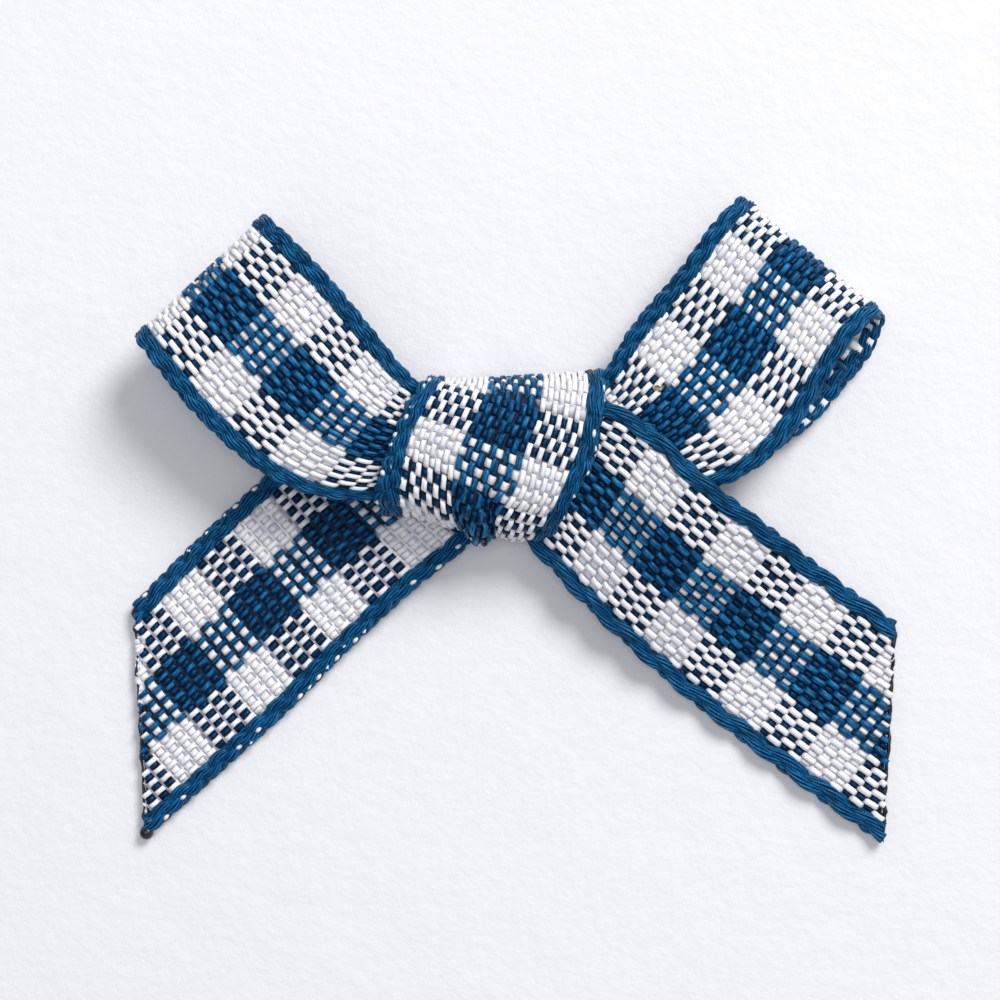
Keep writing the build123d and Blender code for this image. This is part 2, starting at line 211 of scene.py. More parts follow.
RIGHT_LOOP = (
    (11.2, -5.05, 13.3, -3.2, 1.6, 0.0),
    (10.4, -4.15, 12.5, -1.5, 1.6, 0.0),
    (9.35, -3.15, 10.9, 0.3, 1.62, 0.1),
    (7.7, -2.75, 8.6, 2.1, 1.68, 0.25),
    (6.2, -2.93, 6.7, 2.95, 1.82, 0.2),
    (4.5, -2.96, 4.7, 3.05, 2.02, 0.1),
    (2.8, -2.97, 2.9, 2.8, 2.22, 0.04),
    (1.1, -3.08, 1.15, 2.62, 2.36, 0.0),
    (0.3, -3.0, 0.32, 2.72, 2.08, 0.0),
    (0.0, -2.9, 0.0, 2.95, 1.47, 0.0),
    (0.3, -2.75, 0.32, 3.25, 0.88, 0.0),
    (1.1, -2.6, 1.15, 3.5, 0.58, 0.0),
    (2.6, -2.5, 2.6, 3.53, 0.56, 0.0),
    (4.2, -2.5, 4.2, 3.5, 0.6, 0.0),
    (5.9, -2.6, 6.0, 3.05, 0.66, 0.0),
    (7.7, -2.7, 8.2, 2.2, 0.7, 0.0),
    (9.0, -3.6, 11.0, 0.3, 0.7, 0.0),
    (10.2, -4.9, 12.8, -2.0, 0.7, 0.0),
)
RIGHT_TAIL = (
    (-3.0, 1.4, -2.0, -1.5, 2.8, 0.2, -1.7),
    (-1.8, 1.95, -1.0, -2.2, 2.8, 0.25, -1.7),
    (-0.5, 2.35, 0.2, -2.62, 2.8, 0.3, -1.6),
    (1.2, 2.6, 1.8, -2.92, 2.74, 0.3, -1.5),
    (3.6, 2.4, 3.9, -3.2, 2.6, 0.25, -1.5),
    (6.1, 2.4, 6.2, -3.38, 2.0, 0.15, -1.2),
    (8.3, 2.45, 8.4, -3.48, 1.0, 0.04, -0.55),
    (10.5, 2.5, 10.6, -3.48, 0.4, 0.0, -0.1),
    (12.4, 2.58, 12.5, -3.44, 0.3, 0.0),
    (14.8, 2.65, 14.8, -3.36, 0.28, 0.0),
    (17.4, 2.8, 17.4, -3.2, 0.28, 0.0),
)
LEFT_TAIL = (
    (-6.2, -1.6, -6.4, 1.6, 0.72, 0.0),
    (-4.9, -2.1, -5.2, 2.6, 0.72, 0.0),
    (-3.3, -2.7, -3.9, 3.0, 0.7, 0.0),
    (-1.6, -2.95, -1.9, 2.9, 0.6, 0.0),
    (0.1, -2.96, 0.1, 2.88, 0.48, 0.0),
    (2.1, -2.95, 2.1, 2.93, 0.36, 0.0),
    (4.4, -2.86, 4.5, 3.08, 0.29, 0.0),
    (6.6, -2.74, 6.8, 3.1, 0.28, 0.0),
    (9.0, -2.7, 9.0, 3.1, 0.28, 0.0),
    (12.2, -2.7, 12.2, 3.05, 0.28, 0.0),
)
# The wrap's turn round the knot: its left edge and its right one, which lies further round.
WRAP = (
    ((-1.75, 2.35, 1.75), (3.72, 1.15, 3.25)),
    ((-2.05, 2.05, 2.75), (3.55, 0.15, 3.3)),
    ((-2.5, 1.3, 3.15), (3.2, -0.8, 3.3)),
    ((-2.85, 0.5, 3.22), (2.7, -1.75, 3.1)),
    ((-3.12, -0.3, 3.2), (2.3, -2.5, 2.5)),
    ((-3.3, -1.1, 3.0), (1.8, -3.0, 1.5)),
    ((-3.38, -1.8, 2.4), (1.7, -2.65, 0.5)),
    ((-3.25, -2.1, 1.5), (2.0, -1.7, 0.22)),
    ((-3.05, -1.8, 0.6), (2.4, -0.6, 0.18)),
    ((-2.8, -1.0, 0.22), (2.8, 0.5, 0.18)),
    ((-2.5, 0.1, 0.2), (3.2, 1.5, 0.25)),
    ((-2.2, 1.1, 0.22), (3.6, 2.3, 0.7)),
    ((-1.95, 1.9, 0.4), (3.8, 2.6, 1.7)),
    ((-1.75, 2.3, 0.95), (3.85, 2.2, 2.7)),
)
# Where the blue stripe's two sides cross each row: it narrows as it gathers into the pleat.
WRAP_STRIPE = (
    (0.33, 0.67), (0.33, 0.67), (0.33, 0.67), (0.33, 0.7), (0.36, 0.67), (0.42, 0.7), (0.5, 0.72),
    (0.47, 0.71), (0.4, 0.68), (0.36, 0.67), (0.33, 0.67), (0.33, 0.67), (0.33, 0.67), (0.33, 0.67),
)
# How far the cloth swells between the wrap's edges: upwards, and outwards at its back and its front.
WRAP_MIDDLE = (0.2, -0.2, 1.7)
SWELL_UP, SWELL_BACK, SWELL_FRONT = 0.28, 0.05, 0.26
# The pleat's line in plan, and its ridge and two ditches: how far beside it, how wide and how high.
TUCK_TOP, TUCK_FOOT = (-0.85, -0.9), (-0.1, -3.25)
TUCK_FOLDS = ((0.0, 0.3, 0.26), (-0.55, 0.3, -0.2), (0.6, 0.35, -0.1))
TUCK_LOWEST = 1.0


def wrap_rows():
    """Rows of four points: the edges, and the two lines where the wrap's stripes meet."""
    rows = []
    middle = np.array(WRAP_MIDDLE)
    for (left, right), stripe in zip(WRAP, WRAP_STRIPE):
        left, right = np.array(left), np.array(right)
        row = []
        for share in (0, *stripe, 1):
            point = left + (right - left) * share
            swell = 4 * share * (1 - share)
            if point[2] > middle[2]:
                point = point + np.array((0, 0, SWELL_UP * swell))
            outward = (point - middle) * (0, 1, 0)
            point = point + outward * (SWELL_BACK if outward[1] > 0 else SWELL_FRONT) * swell
            row.append(point)
        rows.append(row)
    return rows


def tuck_relief(place):
    """How far the pleat at the knot's lower front stands out of the wrap, in millimetres."""
    top, foot = np.array(TUCK_TOP), np.array(TUCK_FOOT)
    line = foot - top
    reach = np.linalg.norm(line)
    line = line / reach
    away = place[..., :2] - top
    along = away @ line / reach
    across = away[..., 0] * line[1] - away[..., 1] * line[0]
    fade_in, fade_out = np.clip(along * 2.2, 0, 1), np.clip((1.35 - along) * 4, 0, 1)
    folds = sum(np.exp(-(((across - beside) / wide) ** 2)) * high for beside, wide, high in TUCK_FOLDS)
    return folds * (fade_in * fade_out * (place[..., 2] > TUCK_LOWEST))


# ---- the yarns -----------------------------------------------------------------------------------
def mesh_of(name, places, quads, caps=()):
    """A mesh object from arrays of places and of faces, smooth shaded, with no parent."""
    mesh = bpy.data.meshes.new(name)
    faces = np.asarray(quads, np.int32).reshape(-1, 4)
    loops, starts, totals = [faces.ravel()], [np.arange(len(faces)) * 4], [np.full(len(faces), 4)]
    if len(caps):
        caps = np.asarray(caps, np.int32)
        loops.append(caps.ravel())
        starts.append(len(faces) * 4 + np.arange(len(caps)) * caps.shape[1])
        totals.append(np.full(len(caps), caps.shape[1]))
    loops, starts, totals = (np.concatenate(x) for x in (loops, starts, totals))
    mesh.vertices.add(len(places))
    mesh.vertices.foreach_set("co", np.asarray(places, np.float32).ravel())
    mesh.loops.add(len(loops))
    mesh.loops.foreach_set("vertex_index", loops.astype(np.int32))
    mesh.polygons.add(len(starts))
    mesh.polygons.foreach_set("loop_start", starts.astype(np.int32))
    mesh.polygons.foreach_set("loop_total", totals.astype(np.int32))
    mesh.polygons.foreach_set("use_smooth", np.ones(len(starts), bool))
    mesh.update()
    mesh.validate()
    piece = bpy.data.objects.new(name, mesh)
    bpy.context.scene.collection.objects.link(piece)
    return piece


def squared(wave, sharpness):
    """The same beat with flatter tops and quicker turns."""
    return np.tanh(sharpness * wave) / np.tanh(sharpness)


def spin_yarns(
    name, lie, along, across, up, half_width, half_height, lengthways, tones, kinds, sides, squareness=1.0
):
    """Yarns as closed tubes. The arrays hold one line per yarn and one column per step along it;
    lengthways says whether they run along the ribbon, so that their width is across it."""
    measures = np.broadcast_arrays(along, across, up, half_width, half_height)
    along, across, up, half_width, half_height = measures
    count, steps = along.shape
    turn = np.linspace(0, 2 * np.pi, sides, endpoint=False) - np.pi / 2
    cosine, sine = np.cos(turn), np.sin(turn)
    wide = half_width[..., None] * np.sign(cosine) * np.abs(cosine) ** squareness
    high = half_height[..., None] * np.sign(sine) * np.abs(sine) ** squareness
    s, x = along[..., None], across[..., None]
    s, x = np.broadcast_arrays(s, x + wide) if lengthways else np.broadcast_arrays(s + wide, x)
    places = lie.lay(s, x, up[..., None] + high)
    index = np.arange(count * steps * sides).reshape(count, steps, sides)
    here, there = index[:, :-1], index[:, 1:]
    quads = np.stack([here, np.roll(here, -1, 2), np.roll(there, -1, 2), there], -1)
    caps = np.concatenate([index[:, 0, ::-1], index[:, -1]])
    flat_places = places.reshape(-1, 3)
    first = index[0, 0]
    ring = flat_places[first] - flat_places[first].mean(0)
    ahead = flat_places[index[0, 1]].mean(0) - flat_places[first].mean(0)
    if np.dot(np.cross(ring[0], ring[1]), ahead) < 0:
        quads, caps = quads[..., ::-1], caps[:, ::-1]
    piece = mesh_of(name, flat_places, quads.reshape(-1, 4), caps)
    mesh = piece.data
    stepped = np.cumsum(np.linalg.norm(np.diff(places.mean(2), axis=1), axis=2), 1)
    run = np.concatenate([np.zeros((count, 1)), stepped], 1) / MM
    vertex = np.empty(len(mesh.loops), np.int32)
    mesh.loops.foreach_get("vertex_index", vertex)
    yarn, step, side = np.unravel_index(vertex, (count, steps, sides))
    face_of = np.repeat(np.arange(len(mesh.polygons)), [p.loop_total for p in mesh.polygons])
    highest = np.zeros(len(mesh.polygons), int)
    np.maximum.at(highest, face_of, side)
    wrapped = np.where((side == 0) & (highest[face_of] == sides - 1), sides, side)
    strand = np.stack([run[yarn, step] / 10, wrapped / sides], 1)
    strip = np.stack([0.01 + 0.98 * step / (steps - 1), (yarn + 0.04 + 0.92 * wrapped / sides) / count], 1)
    for layer, values in (("strand", strand), ("OFBake", strip)):
        mesh.uv_layers.new(name=layer, do_init=False).uv.foreach_set(
            "vector", values.astype(np.float32).ravel()
        )
    mesh.uv_layers.active = mesh.uv_layers["strand"]
    tone = mesh.attributes.new("tone", "FLOAT", "POINT")
    tone.data.foreach_set("value", np.repeat(tones, steps * sides).astype(np.float32))
    quad_kind = np.repeat(kinds, (steps - 1) * sides)
    mesh.polygons.foreach_set("material_index", np.concatenate([quad_kind, kinds, kinds]).astype(np.int32))
    return piece


# The fourth finish is a darker copy of the blue: painted shade on the picks.
# The third finish is a darker copy of the white: painted shade on binders.
WHITE, BLUE, WHITE_BINDER_SHADE, BLUE_PICK_SHADE = range(4)  # each yarn's place in the list of finishes


def cloth_of(settings):
    """The numbers that every stretch is woven by, in millimetres."""
    half = settings.width / MM / 2
    edge = settings.selvedge / MM
    stripe = settings.blue_stripe / MM
    white, blue = settings.white_ends, settings.blue_ends
    inner = half - edge
    places, kinds = [], []
    for low, high, ends, kind in (
        (-inner, -stripe / 2, white, WHITE),
        (-stripe / 2, stripe / 2, blue, BLUE),
        (stripe / 2, inner, white, WHITE),
    ):
        gap = (high - low) / ends
        places += [low + gap * (i + 0.5) for i in range(ends)]
        kinds += [kind] * ends
    return half, edge, np.array(places), np.array(kinds), settings.pick_gap / MM


class Run:
    """One stretch being woven: its lie, where its yarns start and stop, and how its check falls."""

    WARP_STEPS = 7  # points along a warp end for each pick that it crosses
    PICK_STEPS = 27 * 5  # points along a pick: five for each end, and for the two selvedges
    BINDER_STEPS = 60
    SELVEDGE_STEP = 0.115  # from one point to the next along a selvedge's yarns
    SELVEDGE_SIDES, BINDER_SIDES = 5, 6
    WARP_WIDTH, PICK_WIDTH = 0.52, 0.36  # half of a yarn's width, as a share of its spacing
    UNEVEN, DRIFT = 0.012, 0.0035  # how far a yarn lies off its place, and how far it strays by each step
    SPARE_PICKS = 12  # numbered before the stretch starts and after it ends, for slanted cuts
    FEWEST_COLUMNS = 12  # a thread that crosses fewer columns of the cloth is left out
    SPOT = 0.16  # how far a selvedge's two bundles lie from its middle line
    TWIST = 4.5  # the length of one turn of a bundle's plies

    def __init__(self, settings, lie, blue_centre, start=None, stop=None, pick_count=None, lean=0.22):
        self.lean = lean  # how much longer each warp end shows on the face than on the reverse
        self.settings, self.lie = settings, lie
        self.half, self.edge, self.ends, self.kinds, self.gap = cloth_of(settings)
        if pick_count:
            self.gap = lie.length / pick_count
        self.start, self.stop = start, stop
        repeat = 2 * settings.picks_a_colour
        self.first_pick = blue_centre / self.gap % repeat - settings.picks_a_colour / 2
        self.random = np.random.default_rng(WEAVE_SEED + int(lie.length * 10))

    def bounds(self, across):
        """Where a yarn at that place across the ribbon starts and stops."""
        low = self.start(across) if self.start else np.zeros_like(across)
        high = self.stop(across) if self.stop else np.full_like(across, self.lie.length)
        return low, high

    def wave(self, along):
        """The weave's beat: +1 in the middle of one pick and -1 in the middle of the next."""
        return np.sin(np.pi * (along / self.gap - self.first_pick))

    def numbers(self):
        """A number for each pick that the stretch could hold."""
        return np.arange(-self.SPARE_PICKS, int(self.lie.length / self.gap) + self.SPARE_PICKS + 2)

    def spans(self, centre, reach, columns, spare):
        """Which threads across the ribbon are on its cloth, and from where to where each one goes."""
        line = np.linspace(-reach, reach, columns)
        low, high = self.bounds(line)
        kept, lows, highs = [], [], []
        for i, c in enumerate(centre):
            if self.lie.closed and not 0 <= c < self.lie.length:
                continue
            inside = (low + spare < c) & (c < high - spare)
            if inside.sum() > self.FEWEST_COLUMNS:
                kept.append(i)
                lows.append(line[inside][0])
                highs.append(line[inside][-1])
        return kept, np.array(lows)[:, None], np.array(highs)[:, None]

    def warp_ends(self, name, lift):
        """The yarns along the ribbon, which rise over one pick and dip under the next."""
        low, high = self.bounds(self.ends)
        steps = int(self.lie.length / self.gap * self.WARP_STEPS)
        share = np.linspace(0, 1, steps)
        along = low[:, None] + (high - low)[:, None] * share
        sign = np.where(np.arange(len(self.ends)) % 2, 1.0, -1.0)[:, None]
        wave = self.wave(along) * sign
        shaped = squared(wave + self.lean, 3.0)
        up = lift + self.settings.warp_wave / MM * shaped
        swell = 0.92 + 0.08 * shaped
        pitch = np.gradient(self.ends)[:, None]
        jitter = self.random.normal(0, self.UNEVEN, len(self.ends))[:, None]
        drift = np.cumsum(self.random.normal(0, self.DRIFT, along.shape), 1)
        drift -= np.linspace(0, 1, steps) * drift[:, -1:]
        across = self.ends[:, None] + jitter + drift
        width = pitch * self.WARP_WIDTH * swell
        height = self.settings.yarn_height / MM / 2 * (0.95 + 0.3 * wave**2)
        tones = self.random.uniform(0, 1, len(self.ends))
        return spin_yarns(
            name, self.lie, along, across, up, width, height, True, tones, self.kinds,
            YARN_SIDES, YARN_SQUARENESS,
        )

    def picks(self, name, lift):
        """The yarns across the ribbon, some blue and as many white by turns."""
        number = self.numbers()
        centre = (number + 0.5 + self.first_pick) * self.gap
        kept, lows, highs = self.spans(centre, self.half - 0.08, 400, self.gap * 0.3)
        number, centre = number[kept], centre[kept]
        across = lows + (highs - lows) * np.linspace(0, 1, self.PICK_STEPS)
        beat = np.interp(across, self.ends, np.arange(len(self.ends)))
        sign = np.where(number % 2, -1.0, 1.0)[:, None]
        wave = squared(np.cos(np.pi * beat) * sign, 1.6)
        in_body = np.clip((self.half - self.edge - np.abs(across)) / 0.1, 0, 1)
        up = lift + self.settings.pick_wave / MM * wave * in_body + 0.06 * np.sign(lift) * (1 - in_body)
        up = up - 0.06 * self.lean
        along = centre[:, None] + self.random.normal(0, self.UNEVEN, (len(kept), 1))
        width = self.gap * (self.PICK_WIDTH - 0.1 * abs(self.lean) + 0.02 * wave * in_body)
        height = self.settings.yarn_height / MM / 2 * 0.95
        colour = (number // self.settings.picks_a_colour) % 2
        # Blue picks take a darker copy of the blue: painted shade, as they sit lower than the ends.
        kinds = np.where(colour, WHITE, BLUE_PICK_SHADE)
        tones = self.random.uniform(0, 1, len(kept))
        return spin_yarns(
            name, self.lie, along, across, up, width, height, False, tones, kinds,
            YARN_SIDES, YARN_SQUARENESS,
        )

    def selvedge(self, name, side, floats, reverse=False):
        """Two bundles of blue ends along each face of one edge, which float over a few picks by turns."""
        middle = self.half - self.edge / 2
        rows = []
        for layer, picks in ((1, floats), (-1, 2)):
            for b, spot in enumerate((self.SPOT, -self.SPOT)):
                for ply in range(self.settings.plies):
                    rows.append((layer, b, spot, picks, ply))
        layer, b, spot, period, ply = (np.array(x, float)[:, None] for x in zip(*rows))
        at = side * (middle + spot[:, 0])
        low, high = self.bounds(at)
        steps = int(self.lie.length / self.SELVEDGE_STEP)
        along = low[:, None] + (high - low)[:, None] * np.linspace(0, 1, steps)
        beat = along / self.gap - self.first_pick
        phase = (beat / period + b * 0.5 + layer * 0.2) % 1.0
        arch = np.abs(np.sin(np.pi * phase)) ** 0.8
        tie = 1 - arch
        wind = 2 * np.pi * (ply / self.settings.plies + along / self.TWIST + b * 0.21)
        spread = 0.42 + 0.58 * arch
        radius = self.edge * 0.24
        flip = -1.0 if reverse else 1.0
        top = np.where(layer * flip > 0, 0.125, 0.07)
        across = side * (middle + spot * (1 - 0.75 * tie)) + np.cos(wind) * radius * spread
        up = layer * (top * (0.1 + 0.9 * arch)) + np.sin(wind) * radius * 0.62 * spread
        fine = self.edge * 0.095 * (0.75 + 0.25 * arch)
        kinds = np.full(len(rows), BLUE)
        if reverse:
            flecks = self.flecks(side, low.max(), high.min(), steps)
            kinds = np.concatenate([kinds, np.full(len(flecks[0]), WHITE)])
            along, across, up, fine = map(np.concatenate, zip((along, across, up, fine), flecks))
        tones = self.random.uniform(0, 1, len(kinds))
        return spin_yarns(
            name, self.lie, along, across, up, fine, fine, True, tones, kinds, self.SELVEDGE_SIDES
        )

    def flecks(self, side, first, last, steps):
        """Where white picks show between a selvedge's bundles on the reverse: flat places, and sizes."""
        clear, shown_over, outer_over, half_length = 0.3, 0.45, 0.7, 0.13
        spots = (np.arange(int(self.lie.length / self.gap)) + self.first_pick + 0.5) * self.gap
        spots = spots[(spots > first + clear) & (spots < last - clear)]
        chance = self.random.uniform(0, 1, (len(spots), 1))
        shown = chance[:, 0] > shown_over
        spots, chance = spots[shown][:, None], chance[shown]
        share = np.linspace(-1, 1, steps)
        along = spots + share * half_length
        out = self.half - np.where(chance > outer_over, 0.06, 0.2)
        across = side * (out + 0.05 * share * (chance - outer_over))
        up = np.broadcast_to(-0.13 - 0.05 * (1 - share**2), along.shape)
        lens = np.broadcast_to(0.075 * np.sqrt(np.clip(1 - share**2, 0.01, 1)), along.shape)
        return along, across, up, lens

    def binders(self, name):
        """The thin pale threads that lie between pairs of picks on the reverse; in the blue-pick blocks
        they take a darker copy of the white yarn, painted shade.
        """
        number = self.numbers()
        centre = (number + self.first_pick) * self.gap
        kept, lows, highs = self.spans(centre, self.half - self.edge, 300, 0.1)
        across = lows + (highs - lows) * np.linspace(0, 1, self.BINDER_STEPS)
        along = centre[kept][:, None]
        in_white = np.clip((np.abs(across) - self.settings.blue_stripe / MM / 2) / 0.15, 0, 1)
        up = 0.1 - 0.135 * in_white
        width, height = 0.05, 0.035
        tones = self.random.uniform(0, 1, len(kept))
        # White in the white-pick blocks; in the blue-pick blocks a darker copy of the white: painted
        # shade.
        colour = ((number[kept] - 1) // self.settings.picks_a_colour) % 2
        kinds = np.where(colour, WHITE, WHITE_BINDER_SHADE)
        return spin_yarns(
            name, self.lie, along, across, up, width, height, False, tones, kinds, self.BINDER_SIDES
        )

    def ground(self, name):
        """The cloth's middle layer, seen only in the gaps between yarns: a thin closed sheet, coloured by
        the check in colours darker than the yarns', painted shade in the gaps.
        """
        cell, inset, wall_thickness, weld = 0.3, 0.12, 0.015, 0.004
        bpy.ops.object.select_all(action="DESELECT")
        rows = int(self.lie.length / cell)
        bpy.ops.mesh.primitive_grid_add(x_subdivisions=rows, y_subdivisions=24, size=1)
        piece = bpy.context.object
        piece.name = piece.data.name = name
        flat = np.array([v.co for v in piece.data.vertices])
        reach = self.half - 0.3
        across = flat[:, 1] * 2 * reach
        low, high = self.bounds(across)
        low, high = low + inset * (self.start is not None), high - inset * (self.stop is not None)
        along = low + (high - low) * (flat[:, 0] + 0.5) * 0.9999
        places = self.lie.lay(along, across, np.zeros(len(flat)))
        piece.data.vertices.foreach_set("co", places.astype(np.float32).ravel())
        pick = np.floor(along / self.gap - self.first_pick)
        check = (pick // self.settings.picks_a_colour) % 2
        blue = (check < 0.5) | (np.abs(across) < self.settings.blue_stripe / MM / 2)
        shade = piece.data.attributes.new("tone", "FLOAT", "POINT")
        shade.data.foreach_set("value", blue.astype(np.float32))
        wall = piece.modifiers.new("Wall", "SOLIDIFY")
        wall.thickness, wall.offset = wall_thickness * MM, 0
        bpy.ops.object.modifier_apply(modifier=wall.name)
        bpy.ops.object.shade_smooth()
        if self.lie.closed:
            bpy.ops.object.mode_set(mode="EDIT")
            bpy.ops.mesh.select_all(action="SELECT")
            bpy.ops.mesh.remove_doubles(threshold=weld * MM)
            bpy.ops.object.mode_set(mode="OBJECT")
        return piece


def beads(name, run, stop, spots, thin):
    """The melted line along a cut: a lumpy thread of plastic, beads on it, and drops on the yarns by it.
    Each spot holds its place across, how far back from the cut it lies, its size, how tall it is for
    its width, and its tone."""
    steps, lumps, sides = 60, 40, 10
    share = np.linspace(0, 1, steps)
    level = np.zeros(steps)
    reach = run.half - 0.02
    line = -reach + 2 * reach * share
    lump = run.random.normal(0, 1, (3, lumps))
    lump = np.array([np.interp(share, np.linspace(0, 1, lumps), row) for row in lump])
    ends = np.sqrt(np.clip(1 - (2 * share - 1) ** 20, 0.02, 1))
    thickness = thin * (1 + 0.3 * lump[2]) * ends
    rows = [(stop(line) + 0.03 * lump[0], line, 0.01 * lump[1], thickness, 1.2, 0.0)]
    ball = np.sqrt(np.clip(1 - (2 * share - 1) ** 2, 0.001, 1))
    for across, back, size, tall, tone in spots:
        centre = stop(np.array(across)) - back
        rows.append((centre + level, across + (2 * share - 1) * size, level, size * ball, tall, tone))
    along, across, up, width, tall, tones = (np.array(values, float) for values in zip(*rows))
    kinds = np.zeros(len(rows), int)
    height = width * tall[:, None]
    return spin_yarns(name, run.lie, along, across, up, width, height, False, tones, kinds, sides)


def straight(lie, one, other):
    """A slanted line over the flat ribbon, through the places under two plan points."""
    (s1, x1), (s2, x2) = lie.find(*one), lie.find(*other)
    slope = (s2 - s1) / (x2 - x1)
    return lambda across: s1 + (across - x1) * slope


# ---- materials -----------------------------------------------------------------------------------
class Sock:
    """A node's output that can be used in a Python expression."""

    def __init__(self, graph, socket):
        self.graph, self.socket = graph, socket

    def maths(self, operation, *others):
        values = dict(enumerate((self, *others)))
        return self.graph.node("ShaderNodeMath", {"operation": operation}, values)

    def __add__(self, other):
        return self.maths("ADD", other)

    def __mul__(self, other):
        return self.maths("MULTIPLY", other)

    def __pow__(self, other):
        return self.maths("POWER", other)


class Finish:
    """A material being built from nodes."""

    def __init__(self, name):
        self.material = bpy.data.materials.get(name) or bpy.data.materials.new(name)
        self.material.use_nodes = True
        self.tree = self.material.node_tree
        self.tree.nodes.clear()
        self.shader = self.tree.nodes.new("ShaderNodeBsdfPrincipled")
        out = self.tree.nodes.new("ShaderNodeOutputMaterial")
        self.tree.links.new(self.shader.outputs[0], out.inputs[0])

    def node(self, kind, settings=None, inputs=None, output=0):
        made = self.tree.nodes.new(kind)
        for key, value in (settings or {}).items():
            setattr(made, key, value)
        for key, value in (inputs or {}).items():
            self.feed(made.inputs[key], value)
        return Sock(self, made.outputs[output])

    def feed(self, socket, value):
        if isinstance(value, Sock):
            self.tree.links.new(value.socket, socket)
        elif socket.type == "RGBA" and len(value) == 3:
            socket.default_value = (*value, 1)
        else:
            socket.default_value = value

    def set(self, **sockets):
        for key, value in sockets.items():
            self.feed(self.shader.inputs[key.replace("_", " ")], value)
        return self

    def mix(self, factor, a, b):
        return self.node("ShaderNodeMix", {"data_type": "RGBA"}, {0: factor, 6: a, 7: b}, output=2)

    def spread(self, value, low, high, to_low=0.0, to_high=1.0):
        inputs = {0: value, 1: low, 2: high, 3: to_low, 4: to_high}
        return self.node("ShaderNodeMapRange", {"interpolation_type": "SMOOTHSTEP"}, inputs)

    def noise(self, vector, scale, detail=2.0, roughness=0.5):
        inputs = {"Vector": vector, "Scale": scale, "Detail": detail, "Roughness": roughness}
        return self.node("ShaderNodeTexNoise", {}, inputs)

    def bump(self, height, strength, distance):
        inputs = {"Height": height, "Strength": strength, "Distance": distance}
        return self.node("ShaderNodeBump", {}, inputs)


def yarn_finish(name, deep, middle, painted_highlight, gloss, highlight_gain, shine, painted_crevice_shade):
    """Filament yarn: fine streaks along it that lie as the filaments do, brightened as painted
    highlights, with painted shade down its sides, where it meets the next one, and each yarn with a tone
    of its own."""
    f = Finish(name)
    uv = f.node("ShaderNodeUVMap", {"uv_map": "strand"})
    around = f.node("ShaderNodeSeparateXYZ", {}, {0: uv}, output=1)
    # Painted shade: strongest down the yarn's sides, where it meets the next one.
    side = (around * (2 * math.pi)).maths("SINE").maths("ABSOLUTE") ** 3.0
    tone = f.node("ShaderNodeAttribute", {"attribute_name": "tone"}, output=2)
    shift = f.node("ShaderNodeCombineXYZ", {}, {0: tone * 7.0, 1: tone * 3.0, 2: tone * 11.0})
    moved = f.node("ShaderNodeVectorMath", {"operation": "ADD"}, {0: uv, 1: shift})
    long_way = f.node("ShaderNodeMapping", {}, {"Vector": moved, "Scale": (14.0, 4.5, 1.0)})
    streak = f.noise(long_way, 1.6, 3.0, 0.65)
    coarse = f.node("ShaderNodeMapping", {}, {"Vector": moved, "Scale": (7.0, 2.0, 1.0)})
    patch = f.noise(coarse, 1.0, 2.0, 0.5)
    amount = f.spread(streak, 0.4, 0.66)
    base = f.mix(f.spread(patch * 0.7 + tone * 0.4, 0.2, 0.75), deep, middle)
    # Painted highlight: the streaks pull the colour towards the brightest one.
    colour = f.mix(amount * highlight_gain, base, painted_highlight)
    # Painted shade down the yarn's sides, in its deep colour.
    colour = f.mix(side * painted_crevice_shade, colour, deep)
    f.set(Specular_Tint=(*shine, 1))
    return f.set(
        Base_Color=colour,
        Roughness=f.spread(streak, 0.3, 0.7, gloss + 0.12, gloss - 0.06),
        Normal=f.bump(streak, 1.0, 0.04 * MM),
    )


# ---- properties ----------------------------------------------------------------------------------
class BowRibbonSettings(bpy.types.PropertyGroup):
    width: FloatProperty(
        name="Ribbon Width", description="Over both selvedges", default=0.0065, unit="LENGTH"
    )
    selvedge: FloatProperty(
        name="Selvedge Width", description="Of one corded edge", default=0.0006, unit="LENGTH"
    )
    blue_stripe: FloatProperty(
        name="Blue Stripe", description="Width of the middle stripe", default=0.00196, unit="LENGTH"
    )
    white_ends: IntProperty(
        name="White Ends", description="Warp ends in each white stripe", default=8, min=2
    )
    blue_ends: IntProperty(
        name="Blue Ends", description="Warp ends in the blue stripe", default=9, min=2
    )
    pick_gap: FloatProperty(
        name="Pick Spacing", description="From one double pick to the next", default=0.00046, unit="LENGTH"
    )
    picks_a_colour: IntProperty(
        name="Picks a Colour", description="Double picks before the colour changes", default=4, min=1
    )
    yarn_height: FloatProperty(
        name="Yarn Height", description="Thickness of a pressed yarn", default=0.00011, unit="LENGTH"
    )
    warp_wave: FloatProperty(
        name="Warp Crimp", description="How far a warp end rises and dips", default=0.000115, unit="LENGTH"
    )
    pick_wave: FloatProperty(
        name="Pick Crimp", description="How far a pick rises and dips", default=0.00008, unit="LENGTH"
    )
    plies: IntProperty(
        name="Plies", description="Yarns in one bundle of the selvedge", default=7, min=2
    )


